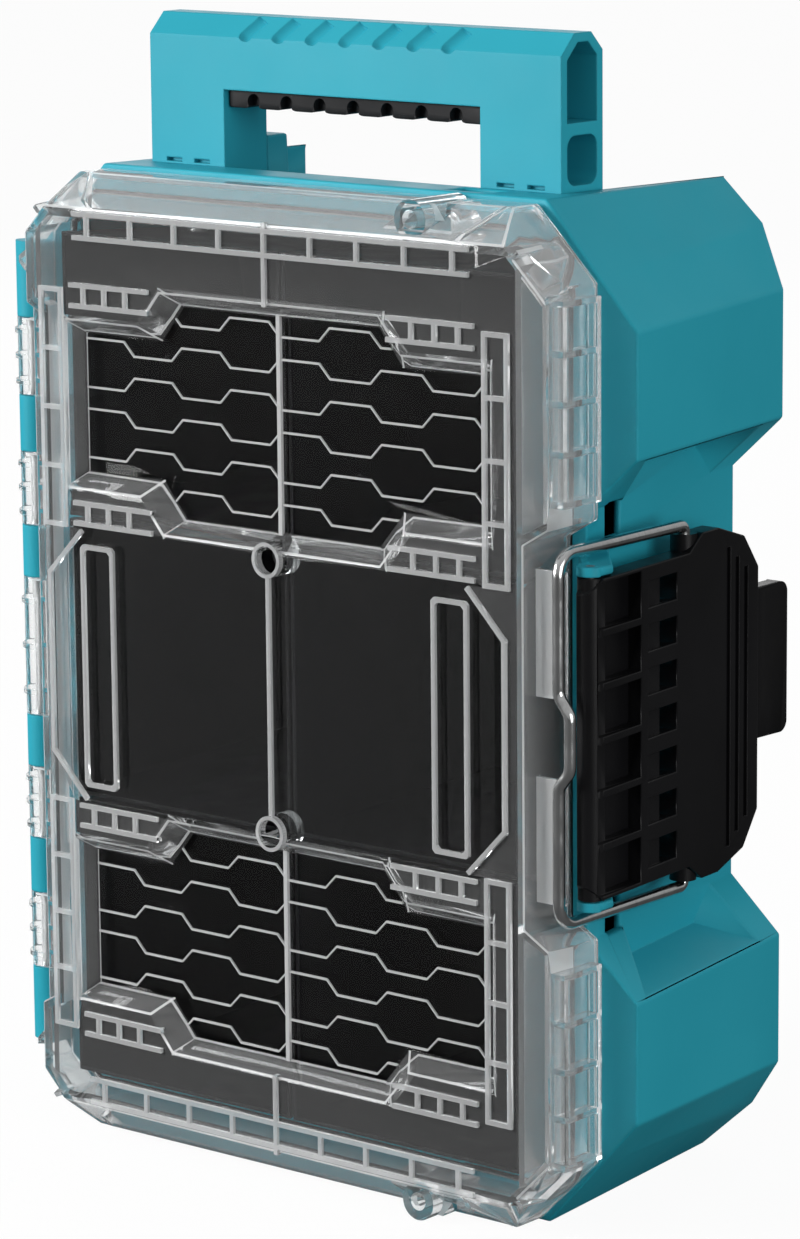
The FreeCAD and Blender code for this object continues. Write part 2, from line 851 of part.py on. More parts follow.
def bins():
    pitch_x = bin_width + bin_gap
    pitch_z = bin_height + bin_gap
    made = []
    for row in range(bin_rows):
        for column in range(bin_columns):
            x = (column - (bin_columns - 1) / 2) * pitch_x
            z = ((bin_rows - 1) / 2 - row) * pitch_z
            made.append(tapered_tray(x, z))
    return made


def tapered_tray(x, z):
    def outline(inset):
        half_x = bin_width / 2 - inset
        half_z = bin_height / 2 - inset
        return [(x - half_x, z - half_z), (x + half_x, z - half_z),
                (x + half_x, z + half_z), (x - half_x, z + half_z)]
    outside = frustum(outline(0), bin_mouth, outline(bin_draft), floor_y)
    bottom = floor_y - bin_wall
    lean = bin_draft * (bottom - bin_mouth) / (floor_y - bin_mouth)
    over = bin_draft * cut_overrun / (floor_y - bin_mouth)
    inside = frustum(outline(bin_wall - over), bin_mouth - cut_overrun, outline(bin_wall + lean), bottom)
    return outside.cut(inside)


def handle_section(inset, low):
    """The bar's section in Y and Z down to a level, moved in by an even inset."""
    front = handle_front + inset
    back = handle_back - inset
    top = handle_top - inset
    bevel_front = handle_front_bevel - inset / 2
    bevel_back = handle_rear_bevel - inset / 2
    return [(front, low), (front, top - bevel_front), (front + bevel_front, top),
            (back - bevel_back, top), (back, top - bevel_back), (back, low)]


def handle_screw_places():
    places = []
    for x in (-handle_screw_x, handle_screw_x):
        for y in (handle_front + handle_screw_inset, handle_back - handle_screw_inset):
            places.append((x, y))
    return places


def notch_cutter(x):
    """A slanting round cut across the bar's front bevel and top."""
    start = V(x - notch_slant / 2, handle_front, handle_top - handle_front_bevel)
    end = V(x + notch_slant / 2, handle_front + handle_front_bevel, handle_top)
    along = (end - start).normalize()
    out = V(0, -1, 1).normalize() * (notch_radius - notch_depth)
    middle = (start + end) * 0.5 + out
    reach = handle_front_bevel * notch_reach_share
    groove = Part.makeCylinder(notch_radius, reach * 2, middle - along * reach, along)
    return groove.fuse(Part.makeSphere(notch_radius, middle - along * reach))


def carry_handle():
    bar = prism_x(handle_section(0, foot_z), -handle_half_length, handle_half_length)
    gap = box((-handle_half_gap, handle_front - cut_overrun, foot_z - cut_overrun),
              (handle_half_gap, handle_back + cut_overrun, gap_top))
    core_low = gap_top + handle_wall
    upper = prism_x(handle_section(handle_wall, core_low), -handle_half_length - cut_overrun,
                    handle_half_length + cut_overrun)
    end_low = gap_top - handle_web
    end_core = prism_x(handle_section(handle_wall, end_low), handle_half_length - handle_core_depth,
                       handle_half_length + cut_overrun)
    lower = box((handle_half_length - handle_core_depth, handle_front + handle_wall,
                 half_height + handle_core_rise),
                (handle_half_length + cut_overrun, handle_back - handle_wall, end_low - handle_web))
    lower = lower.makeFillet(handle_core_corner, [e for e in lower.Edges if abs(e.tangentAt(0).x) > 0.9])
    cuts = [gap, upper] + both_sides(end_core) + both_sides(lower)
    for i in range(notch_count):
        cuts.append(notch_cutter((i - (notch_count - 1) / 2) * notch_pitch))
    leg_x = (handle_half_length + handle_half_gap) / 2
    low = half_height + foot_slot_rise
    for offset in (-foot_slot_pitch / 2, foot_slot_pitch / 2):
        slot = box((leg_x + offset - foot_slot_width / 2, handle_front - cut_overrun, low),
                   (leg_x + offset + foot_slot_width / 2, handle_front + foot_slot_depth,
                    low + foot_slot_height))
        cuts += both_sides(slot)
    for x, y in handle_screw_places():
        cuts.append(rod_z(x, y, foot_z - cut_overrun, foot_z + handle_screw_length,
                          handle_screw_radius + screw_fit))
    return bar.cut(Part.Compound(cuts))


def handle_grip():
    half = handle_half_gap - grip_end_gap
    low = gap_top - grip_thickness
    pad = box((-half, handle_front + grip_inset, low), (half, handle_back - grip_inset, gap_top))
    cuts = []
    for i in range(notch_count):
        x = (i - (notch_count - 1) / 2) * notch_pitch
        cuts.append(rod_y(x, low - scallop_radius + scallop_depth, handle_front, handle_back,
                          scallop_radius))
        cuts.append(rod_y(x, low + dimple_rise, handle_front, handle_front + grip_inset + dimple_depth,
                          dimple_radius))
    return pad.cut(join(cuts))


def handle_screws():
    head_top = foot_z - base_wall
    screws = []
    for x, y in handle_screw_places():
        head = rod_z(x, y, head_top - handle_screw_head_height, head_top, handle_screw_head_radius)
        shank = rod_z(x, y, head_top, foot_z + handle_screw_length, handle_screw_radius)
        screws.append(head.fuse(shank))
    return Part.Compound(screws)


def lever_face_x(y):
    """The lever's outer face leans in towards the back."""
    share = (y + lever_front) / (lever_rear + lever_front)
    return lever_front_x + (lever_rear_x - lever_front_x) * share


def meets_line(edge, point):
    """Whether an upright edge stands over a point."""
    middle = edge.CenterOfMass
    return math.hypot(middle.x - point.x, middle.y - point.y) < pin_fit


def latch_lever():
    front = -lever_front
    upper = [(front, lever_half_height - lever_front_corner),
             (front + lever_front_corner, lever_half_height), (lever_wing_start, lever_half_height),
             (lever_wing_front, lever_wing_half_height), (lever_wing_rear, lever_wing_half_height),
             (lever_shoulder, lever_shoulder_half_height), (lever_rear, lever_tip_half_height)]
    outline = upper + [(y, -z) for y, z in reversed(upper)]
    section = [(lever_face_x(front), front), (lever_face_x(lever_rear), lever_rear),
               (lever_face_x(lever_rear) - lever_thickness, lever_rear),
               (lever_face_x(front) - lever_thickness, front)]
    left = lever_rear_x - lever_thickness - cut_overrun
    plate = prism_x(outline, left, lever_front_x + cut_overrun)
    body = prism_z(section, -lever_wing_half_height, lever_wing_half_height)
    nose = V(lever_face_x(front), front, 0)
    body = body.makeFillet(lever_nose_round, [e for e in body.Edges if meets_line(e, nose)])
    plate = plate.common(body)
    hollow_front = lever_wing_front + lever_edge
    hollow_half = lever_shoulder_half_height - lever_edge
    hollow = [(lever_face_x(hollow_front) - lever_skin, hollow_front),
              (lever_face_x(lever_rear) - lever_skin, lever_rear - lever_edge),
              (left - cut_overrun, lever_rear - lever_edge), (left - cut_overrun, hollow_front)]
    hollow_outline = [(hollow_front, -hollow_half), (lever_shoulder, -hollow_half),
                      (lever_rear, -lever_tip_half_height + lever_edge),
                      (lever_rear, lever_tip_half_height - lever_edge),
                      (lever_shoulder, hollow_half), (hollow_front, hollow_half)]
    hollow = prism_z(hollow, -hollow_half, hollow_half)
    hollow = hollow.common(prism_x(hollow_outline, left - cut_overrun * 2, lever_front_x))
    plate = plate.cut(hollow)
    end = lever_wing_half_height
    bail_barrel = rod_z(bail_x, bail_pivot_back, -end, end, bail_barrel_radius)
    pin_barrel = rod_z(lever_pin_x, lever_pin_y, -lever_half_height, lever_half_height,
                       lever_barrel_radius)
    lever = join([plate, bail_barrel, pin_barrel])

    cuts = [rod_z(lever_pin_x, lever_pin_y, -end, end, lever_pin_radius + turning_fit)]
    bore_start = bail_half_height - bail_insert - cut_overrun
    cuts += both_ends(rod_z(bail_x, bail_pivot_back, bore_start, bail_half_height,
                            wire_radius + turning_fit))
    pocket_half = (lever_pocket_pitch - lever_pocket_wall) / 2
    for i in range(lever_pocket_count):
        z = (i - (lever_pocket_count - 1) / 2) * lever_pocket_pitch
        cuts.append(face_pocket(front + lever_edge, lever_pocket_back, z, pocket_half,
                                lever_pocket_depth))
        cuts.append(face_pocket(-lever_pocket_deep_start, lever_pocket_back, z, pocket_half,
                                lever_pocket_deep))
    for i in range(lever_slot_count):
        z = (i - (lever_slot_count - 1) / 2) * lever_slot_pitch
        half = lever_slot_height / 2
        cuts.append(face_pocket(lever_slot_front, lever_slot_middle, z, half, lever_slot_recess))
        cuts.append(face_pocket(lever_slot_middle, lever_slot_back, z, half,
                                lever_thickness + cut_overrun))
    for i in range(groove_count):
        y = groove_first + i * groove_pitch
        cuts.append(face_pocket(y, y + groove_width, 0, groove_half_height - i * groove_shortening,
                                groove_depth))
    return lever.cut(Part.Compound(cuts))


def face_pocket(front, back, z, half, depth):
    """A pocket of even depth in the lever's leaning outer face."""
    outline = [(lever_face_x(front) - depth, front), (lever_face_x(back) - depth, back),
               (lever_front_x + cut_overrun, back), (lever_front_x + cut_overrun, front)]
    return prism_z(outline, z - half, z + half)


def lever_pin():
    end = lever_half_height + ear_gap + ear_thickness
    return rod_z(lever_pin_x, lever_pin_y, -end, end, lever_pin_radius)


def rounded_path(points, bends):
    """Straight runs through points, with an arc of a given radius at each inner point."""
    edges = []
    last = points[0]
    for i in range(1, len(points) - 1):
        before = (points[i - 1] - points[i]).normalize()
        after = (points[i + 1] - points[i]).normalize()
        angle = before.getAngle(after)
        reach = bends[i - 1] / math.tan(angle / 2)
        start = points[i] + before * reach
        end = points[i] + after * reach
        axis = (before + after).normalize()
        middle = points[i] + axis * (bends[i - 1] / math.sin(angle / 2) - bends[i - 1])
        edges.append(Part.LineSegment(last, start).toShape())
        edges.append(Part.Arc(start, middle, end).toShape())
        last = end
    edges.append(Part.LineSegment(last, points[-1]).toShape())
    return Part.Wire(edges)


def latch_bail():
    """The wire: one end in the lever, a leg, the bar with its kink, the other leg and end."""
    upper = [V(bail_x, bail_pivot_back, bail_half_height - bail_insert),
             V(bail_x, bail_pivot_back, bail_half_height),
             V(bail_x, bail_bar_y, bail_half_height),
             V(bail_x, bail_bar_y, bail_kink_half_height + bail_kink_rise),
             V(bail_x + bail_kink, bail_bar_y, bail_kink_half_height)]
    lower = [V(p.x, p.y, -p.z) for p in reversed(upper)]
    bends = [bail_pivot_bend, bail_bar_bend, bail_kink_bend, bail_kink_bend]
    path = rounded_path(upper + lower, bends + bends[::-1])
    circle = Part.Wire(Part.Circle(upper[0], V(0, 0, 1), wire_radius).toShape())
    return Part.Wire(path).makePipeShell([circle], True, False)


def rear_lock_slider():
    back = slider_y + slider_thickness
    plate = box((slider_left, slider_y, -slider_half_height),
                (paddle_right - paddle_thickness / 2, back, slider_half_height))
    tip = slider_y + paddle_height
    paddle = box((paddle_right - paddle_thickness, slider_y, -paddle_half_height),
                 (paddle_right, tip, paddle_half_height))
    ends = [e for e in paddle.Edges if e.BoundBox.XLength > paddle_thickness / 2 and e.CenterOfMass.y > back]
    return raised(join([plate, paddle.makeFillet(paddle_corner, ends)]))


def rear_lock_cover():
    outline = cut_corner_rectangle(lock_left, lock_right, -lock_half_height, lock_half_height, lock_corner)
    cover = prism_y(outline, base_depth, base_depth + lock_cover_height)
    channel = box((lock_left + lock_end_wall, base_depth - cut_overrun, -slider_half_height - slider_gap),
                  (lock_right + cut_overrun, base_depth + lock_cover_height - lock_cover_skin,
                   slider_half_height + slider_gap))
    holes = []
    for x in lock_screw_x:
        holes += both_ends(rod_y(x, lock_screw_z, base_depth - cut_overrun,
                                 base_depth + lock_cover_height + cut_overrun,
                                 lock_screw_radius + screw_fit))
    return raised(cover.cut(channel)).cut(Part.Compound(holes))


def rear_lock_spring():
    left = lock_left + lock_end_wall
    start = (left, slider_y + slider_thickness / 2, 0)
    length = slider_left - left
    coil = rod(start, V(1, 0, 0), length, spring_radius)
    return raised(coil.cut(rod(start, V(1, 0, 0), length, spring_bore_radius)))


def rear_lock_screws():
    seat = base_depth + lock_cover_height
    screws = []
    for x in lock_screw_x:
        head = rod_y(x, lock_screw_z, seat, seat + lock_screw_head_height, lock_screw_head_radius)
        shank = rod_y(x, lock_screw_z, floor_y - lock_boss_length + base_wall, seat, lock_screw_radius)
        screws += both_ends(head.fuse(shank))
    return Part.Compound(screws)


def save(name, shape):
    """Move a piece to the standing frame and write it."""
    placed = shape.copy()
    placed.translate(V(0, -base_depth / 2, half_height))
    placed.exportStep(os.path.join("parts", name + ".step"))
    print(name, placed.isValid(), len(placed.Solids), round(placed.Volume))


os.makedirs("parts", exist_ok=True)
save("base_shell", base_shell())
save("lid_shell", lid_shell())
save("lid_seal", lid_seal())
save("hinge_pin", hinge_pin())
for number, tray in enumerate(bins(), start=1):
    save("bin_%d" % number, tray)
save("carry_handle", carry_handle())
save("handle_grip", handle_grip())
save("handle_screws", handle_screws())
save("latch_lever", latch_lever())
save("lever_pin", lever_pin())
save("latch_bail", latch_bail())
save("rear_lock_slider", rear_lock_slider())
save("rear_lock_cover", rear_lock_cover())
save("rear_lock_spring", rear_lock_spring())
save("rear_lock_screws", rear_lock_screws())
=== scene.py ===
import json
import math

import bmesh
import bpy
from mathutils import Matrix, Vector


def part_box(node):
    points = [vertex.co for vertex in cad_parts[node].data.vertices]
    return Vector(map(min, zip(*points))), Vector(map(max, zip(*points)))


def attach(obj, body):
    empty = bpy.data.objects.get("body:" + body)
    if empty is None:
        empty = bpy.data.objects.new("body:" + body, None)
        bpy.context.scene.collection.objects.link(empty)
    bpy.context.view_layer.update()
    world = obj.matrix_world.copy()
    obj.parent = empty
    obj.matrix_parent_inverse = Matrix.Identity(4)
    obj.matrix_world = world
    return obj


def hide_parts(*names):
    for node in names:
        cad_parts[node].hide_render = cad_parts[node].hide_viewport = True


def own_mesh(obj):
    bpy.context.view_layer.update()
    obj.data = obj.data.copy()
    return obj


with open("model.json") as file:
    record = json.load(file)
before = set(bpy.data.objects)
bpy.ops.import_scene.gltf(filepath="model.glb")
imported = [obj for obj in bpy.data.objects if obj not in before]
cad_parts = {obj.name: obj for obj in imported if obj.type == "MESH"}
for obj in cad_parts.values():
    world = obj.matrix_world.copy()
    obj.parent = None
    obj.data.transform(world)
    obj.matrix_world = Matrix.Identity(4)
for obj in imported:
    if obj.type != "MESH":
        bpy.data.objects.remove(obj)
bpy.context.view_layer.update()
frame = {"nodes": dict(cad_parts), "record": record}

nodes = frame["nodes"]
bodies = frame["record"]["behaviour"]["bodies"]
body_of = {name: body for body, members in bodies.items() for name in members}
bin_count = 6
bins = ["bin_%d" % (i + 1) for i in range(bin_count)]


# Material helpers: a noise value stays mostly between noise_low and noise_high

noise_low = 0.3
noise_high = 0.7


def start_material(name, roughness, metallic=0.0):
    mat = bpy.data.materials.new(name)
    mat.use_nodes = True
    shader = mat.node_tree.nodes["Principled BSDF"]
    shader.inputs["Metallic"].default_value = metallic
    shader.inputs["Roughness"].default_value = roughness
    place = mat.node_tree.nodes.new("ShaderNodeTexCoord")
    return mat, shader, place.outputs["Object"]


def noise(mat, place, scale, detail=2.0, rough=0.5, stretch=None):
    tree = mat.node_tree
    if stretch is not None:
        mapping = tree.nodes.new("ShaderNodeMapping")
        mapping.inputs["Scale"].default_value = stretch
        tree.links.new(place, mapping.inputs["Vector"])
        place = mapping.outputs["Vector"]
    node = tree.nodes.new("ShaderNodeTexNoise")
    node.inputs["Scale"].default_value = scale
    node.inputs["Detail"].default_value = detail
    node.inputs["Roughness"].default_value = rough
    tree.links.new(place, node.inputs["Vector"])
    return node.outputs["Fac"]


def ramp(mat, value, low, high):
    """A colour that goes from low to high with a noise value."""
    tree = mat.node_tree
    node = tree.nodes.new("ShaderNodeValToRGB")
    ends = node.color_ramp.elements
    ends[0].position = noise_low
    ends[0].color = (*low, 1.0)
    ends[1].position = noise_high
    ends[1].color = (*high, 1.0)
    tree.links.new(value, node.inputs["Fac"])
    return node.outputs["Color"]


def span(mat, value, low, high):
    """A noise value spread over a new range."""
    tree = mat.node_tree
    node = tree.nodes.new("ShaderNodeMapRange")
    node.inputs["From Min"].default_value = noise_low
    node.inputs["From Max"].default_value = noise_high
    node.inputs["To Min"].default_value = low
    node.inputs["To Max"].default_value = high
    tree.links.new(value, node.inputs["Value"])
    return node.outputs["Result"]


def bump(mat, shader, height, strength, distance, edge=0.0):
    """A fine relief, on edges that are shaded as if rounded where an edge radius is given."""
    rounding_samples = 4
    tree = mat.node_tree
    node = tree.nodes.new("ShaderNodeBump")
    if edge:
        rounding = tree.nodes.new("ShaderNodeBevel")
        rounding.samples = rounding_samples
        rounding.inputs["Radius"].default_value = edge
        tree.links.new(rounding.outputs["Normal"], node.inputs["Normal"])
    node.inputs["Strength"].default_value = strength
    node.inputs["Distance"].default_value = distance
    tree.links.new(height, node.inputs["Height"])
    tree.links.new(node.outputs["Normal"], shader.inputs["Normal"])


def moulded(name, low, high, roughness, grain, grain_strength, specular=0.3, edge=0.0):
    """Moulded plastic: slight cloudiness in colour and gloss, and a fine grain."""
    cloud_scale = 14.0
    sheen_scale = 60.0
    smoother = 0.05
    rougher = 0.06
    grain_height = 0.0002
    mat, shader, place = start_material(name, roughness)
    shader.inputs["Specular IOR Level"].default_value = specular
    tree = mat.node_tree
    clouds = noise(mat, place, cloud_scale, detail=3.0)
    tree.links.new(ramp(mat, clouds, low, high), shader.inputs["Base Color"])
    sheen = noise(mat, place, sheen_scale, detail=4.0)
    gloss = span(mat, sheen, roughness - smoother, roughness + rougher)
    tree.links.new(gloss, shader.inputs["Roughness"])
    bump(mat, shader, noise(mat, place, grain, rough=0.6), grain_strength, grain_height, edge)
    return mat


def clear(name, transmission, ior, rough_low, rough_high, wave):
    """Clear polycarbonate with the faint waviness of a moulding."""
    tint_low = (0.965, 0.985, 0.99)
    tint_high = (0.99, 0.998, 1.0)
    haze_scale = 25.0
    smear_scale = 120.0
    wave_scale = 55.0
    wave_height = 0.0004
    mat, shader, place = start_material(name, rough_low)
    tree = mat.node_tree
    shader.inputs["Transmission Weight"].default_value = transmission
    shader.inputs["IOR"].default_value = ior
    haze = noise(mat, place, haze_scale, detail=3.0)
    tree.links.new(ramp(mat, haze, tint_low, tint_high), shader.inputs["Base Color"])
    smear = noise(mat, place, smear_scale, detail=3.0)
    tree.links.new(span(mat, smear, rough_low, rough_high), shader.inputs["Roughness"])
    bump(mat, shader, noise(mat, place, wave_scale, detail=1.0), wave, wave_height)
    return mat


def steel(name, low, high, roughness):
    """Plated or plain steel with faint drawing marks."""
    mark_scale = 900.0
    mark_stretch = (1.0, 1.0, 0.1)
    mark_strength = 0.08
    mark_height = 0.0001
    sheen_scale = 150.0
    smoother = 0.06
    rougher = 0.1
    mat, shader, place = start_material(name, roughness, metallic=1.0)
    tree = mat.node_tree
    marks = noise(mat, place, mark_scale, detail=3.0, rough=0.6, stretch=mark_stretch)
    tree.links.new(ramp(mat, marks, low, high), shader.inputs["Base Color"])
    sheen = noise(mat, place, sheen_scale, detail=3.0)
    gloss = span(mat, sheen, roughness - smoother, roughness + rougher)
    tree.links.new(gloss, shader.inputs["Roughness"])
    bump(mat, shader, marks, mark_strength, mark_height)
    return mat


# Materials, and the node that each one is on

teal = moulded("teal_plastic", (0.018, 0.335, 0.435), (0.024, 0.37, 0.475), roughness=0.46,
               grain=2600.0, grain_strength=0.10, specular=0.2, edge=0.0008)
bin_black = moulded("bin_plastic", (0.003, 0.003, 0.004), (0.006, 0.006, 0.007), roughness=0.42,
                    grain=1800.0, grain_strength=0.03, specular=0.07)
latch_black = moulded("latch_plastic", (0.003, 0.003, 0.0035), (0.006, 0.006, 0.007), roughness=0.36,
                      grain=3200.0, grain_strength=0.12, specular=0.25)
grip_black = moulded("grip_rubber", (0.006, 0.006, 0.007), (0.012, 0.012, 0.013), roughness=0.6,
                     grain=2200.0, grain_strength=0.25, specular=0.2)
seal_black = moulded("seal_rubber", (0.012, 0.012, 0.012), (0.02, 0.02, 0.02), roughness=0.65,
                     grain=1600.0, grain_strength=0.2)
zinc = steel("plated_wire", (0.60, 0.61, 0.61), (0.74, 0.75, 0.75), roughness=0.16)
pin_steel = steel("pin_steel", (0.50, 0.50, 0.50), (0.60, 0.60, 0.60), roughness=0.34)

# Milkier copies of the clear plastic go on the lid's edges, walls, rib tops and frames, by the way each
# face faces: a painted highlight on the edges and a painted sheen on walls and ribs.
clear_lid = clear("clear_plastic", transmission=1.0, ior=1.16,
                  rough_low=0.015, rough_high=0.05, wave=0.04)
clear_wall_sheen = clear("clear_plastic_walls_painted_sheen", transmission=0.86, ior=1.5,
                   rough_low=0.02, rough_high=0.06, wave=0.25)
clear_edge_highlight = clear("clear_plastic_edges_painted_highlight", transmission=0.55, ior=1.4,
                   rough_low=0.08, rough_high=0.2, wave=0.12)
clear_panel = clear("clear_plastic_panel", transmission=1.0, ior=1.25,
                    rough_low=0.02, rough_high=0.08, wave=0.06)
clear_top = clear("clear_plastic_rib_tops", transmission=0.66, ior=1.4,
                  rough_low=0.04, rough_high=0.12, wave=0.15)
clear_frame = clear("clear_plastic_frame", transmission=0.95, ior=1.4,
                    rough_low=0.03, rough_high=0.1, wave=0.22)
lid_finishes = [clear_lid, clear_wall_sheen, clear_edge_highlight, clear_panel, clear_top, clear_frame]
PANE, WALL_SHEEN, EDGE_HIGHLIGHT, PANEL, RIB_TOP, FRAME = range(len(lid_finishes))

looks = {
    "base_shell": teal, "carry_handle": teal, "lid_shell": clear_lid, "lid_seal": seal_black,
    "hinge_pin": pin_steel, "lever_pin": pin_steel, "handle_screws": pin_steel,
    "rear_lock_screws": pin_steel, "rear_lock_spring": pin_steel, "handle_grip": grip_black,
    "latch_lever": latch_black, "rear_lock_slider": latch_black, "rear_lock_cover": latch_black,
    "latch_bail": zinc,
}
for name in bins:
    looks[name] = bin_black


def paint(obj, mat):
    obj.data.materials.clear()
    obj.data.materials.append(mat)


for name, mat in looks.items():
    paint(nodes[name], mat)


# Pieces that stand for a node

def add_object(name, data):
    obj = bpy.data.objects.new(name, data)
    bpy.context.scene.collection.objects.link(obj)
    return obj


def add_piece(name, mesh, node):
    """A smooth-shaded piece in a node's place, on its body and in its material slot."""
    obj = add_object(name, mesh)
    paint(obj, looks[node])
    for poly in mesh.polygons:
        poly.use_smooth = True
    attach(obj, body_of[node])
    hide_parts(node)
    return obj


# Softened edges: a copy of several moulded pieces with their sharp edges rounded

weld_distance = 1e-6
flat_turn = math.radians(0.6)
rounded_turn = math.radians(20.0)
smooth_turn = math.radians(24.0)
broad_smooth_turn = math.radians(4.0)
broad_area = 1.5e-4
shortest_edge_widths = 4


def flat_copy(name):
    """A copy of a node's mesh with its flat faces made whole, then cut into convex ones."""
    mesh = nodes[name].data.copy()
    work = bmesh.new()
    work.from_mesh(mesh)
    bmesh.ops.remove_doubles(work, verts=work.verts, dist=weld_distance)
    bmesh.ops.dissolve_limit(work, angle_limit=flat_turn, verts=work.verts, edges=work.edges)
    bmesh.ops.connect_verts_concave(work, faces=work.faces)
    work.to_mesh(mesh)
    work.free()
    return mesh


def weigh_edges(mesh, shortest, side=math.inf):
    """Mark the long outer edges left of a side to be rounded, none on ribs; other steep ones stay sharp."""
    work = bmesh.new()
    work.from_mesh(mesh)
    weight = work.edges.layers.float.new("bevel_weight_edge")
    for edge in work.edges:
        if len(edge.link_faces) != 2:
            continue
        turn = edge.calc_face_angle_signed()
        long = edge.calc_length() > shortest and min(v.co.x for v in edge.verts) < side
        ribbed = any(face.material_index in (EDGE_HIGHLIGHT, RIB_TOP) for face in edge.link_faces)
        broad = min(face.calc_area() for face in edge.link_faces) > broad_area
        rounded = turn > rounded_turn and long and not ribbed
        edge[weight] = 1.0 if rounded else 0.0
        edge.smooth = rounded or abs(turn) < (broad_smooth_turn if broad else smooth_turn)
    work.to_mesh(mesh)
    work.free()


def round_edges(obj, width, segments):
    bevel = obj.modifiers.new("edges", "BEVEL")
    bevel.width = width
    bevel.segments = segments
    bevel.limit_method = "WEIGHT"
    bevel.use_clamp_overlap = False
    bevel.loop_slide = False
    normals = obj.modifiers.new("shading", "WEIGHTED_NORMAL")
    normals.weight = 100
    normals.keep_sharp = True


def soften(name, width):
    obj = add_piece(name + "_soft", flat_copy(name), name)
    weigh_edges(obj.data, shortest_edge_widths * width)
    round_edges(obj, width, segments=2)


# Clear lid: the planes of its front follow from its box, with bosses and ribs that rise from them

lid_low, lid_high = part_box("lid_shell")
boss_height = 0.002
rib_height = 0.0012
window_depth = 0.007
window_half_width = 0.0925
window_half_height = 0.134
panel_half_height = 0.048
front_plane = lid_low[1] + boss_height
window_plane = front_plane + window_depth
middle_height = (lid_low[2] + lid_high[2]) / 2
slack = 0.0001
wide_slack = 0.0005
facing_share = 0.95
sloping_share = 0.3
lid_edge_width = 0.0005
lid_shortest_edge = 0.006
latch_margin = 0.006
latch_side = lid_high[0] - latch_margin


def lid_finish(poly):
    """The finish of a face of the lid, by its place and the way it faces; the milkier finishes paint
    highlight and sheen on it.
    """
    x, y, z = poly.center
    rise = abs(z - middle_height)
    facing = abs(poly.normal.y) > facing_share
    sloping = sloping_share < abs(poly.normal.y) < facing_share
    in_window = abs(x) < window_half_width and rise < window_half_height
    on_panel = in_window and rise < panel_half_height
    if poly.normal.y > facing_share or y > window_plane + wide_slack:
        if not facing:
            return WALL_SHEEN
        return PANEL if on_panel else PANE
    on_front_rib = y < front_plane - slack
    on_window_rib = window_plane - rib_height - slack < y < window_plane - slack
    if (on_front_rib or on_window_rib) and not sloping:
        return RIB_TOP if y < front_plane - rib_height + slack else EDGE_HIGHLIGHT
    if not in_window:
        return FRAME if facing else WALL_SHEEN
    raised = y < front_plane + wide_slack
    if raised and on_panel:
        return PANEL
    return FRAME if raised or sloping else PANE


def make_lid():
    """The lid with polished panes, and ribs, walls and edges in milkier finishes that scatter a little
    light: a painted highlight on the edges and a painted sheen on walls and ribs.
    """
    obj = add_piece("lid_shell_soft", flat_copy("lid_shell"), "lid_shell")
    mesh = obj.data
    for mat in lid_finishes[1:]:
        mesh.materials.append(mat)
    for poly in mesh.polygons:
        poly.material_index = lid_finish(poly)
    weigh_edges(mesh, lid_shortest_edge, latch_side)
    round_edges(obj, lid_edge_width, segments=1)
    # The rounded edges take the edge finish, a painted highlight along the lid's edges.
    obj.modifiers["edges"].material = EDGE_HIGHLIGHT


edge_widths = {
    "base_shell": 0.0009, "latch_lever": 0.0005, "rear_lock_slider": 0.0008,
    "rear_lock_cover": 0.0008, "handle_grip": 0.0006,
}
bin_edge_width = 0.0004

make_lid()
for name, width in edge_widths.items():
    soften(name, width)
for name in bins:
    soften(name, bin_edge_width)


# Return spring of the rear lock: a wire coil

def coil_mesh(start, length, coil_radius, wire_radius, turns):
    """A round wire wound about the x axis, from the middle of its left end."""
    steps = 16
    curve = bpy.data.curves.new("spring_wire", "CURVE")
    curve.dimensions = "3D"
    curve.bevel_depth = wire_radius
    curve.use_fill_caps = True
    spline = curve.splines.new("POLY")
    spline.points.add(turns * steps)
    for i, point in enumerate(spline.points):
        turn = 2 * math.pi * i / steps
        along = start.x + wire_radius + (length - 2 * wire_radius) * i / (turns * steps)
        across = start.y + coil_radius * math.cos(turn)
        up = start.z + coil_radius * math.sin(turn)
        point.co = (along, across, up, 1.0)
    shape = bpy.data.objects.new("spring_shape", curve)
    mesh = bpy.data.meshes.new_from_object(shape)
    bpy.data.objects.remove(shape)
    return mesh


def make_spring():
    low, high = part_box("rear_lock_spring")
    wire_radius = 0.0004
    turns = 9
    middle = (Vector(low) + Vector(high)) / 2
    start = Vector((low[0], middle.y, middle.z))
    length = high[0] - low[0]
    coil_radius = (high[2] - low[2]) / 2 - wire_radius
    mesh = coil_mesh(start, length, coil_radius, wire_radius, turns)
    obj = add_piece("rear_lock_spring_coil", mesh, "rear_lock_spring")
    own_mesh(obj)


make_spring()


# Floor and world: white to the camera, with the object's shadow kept

white = (1.0, 1.0, 1.0, 1.0)


def shown_white(tree):
    """1 for the rays that show the background, straight or through the lid."""
    path = tree.nodes.new("ShaderNodeLightPath")
    either = tree.nodes.new("ShaderNodeMath")
    either.operation = "MAXIMUM"
    tree.links.new(path.outputs["Is Camera Ray"], either.inputs[0])
    tree.links.new(path.outputs["Is Transmission Ray"], either.inputs[1])
    return either.outputs[0]


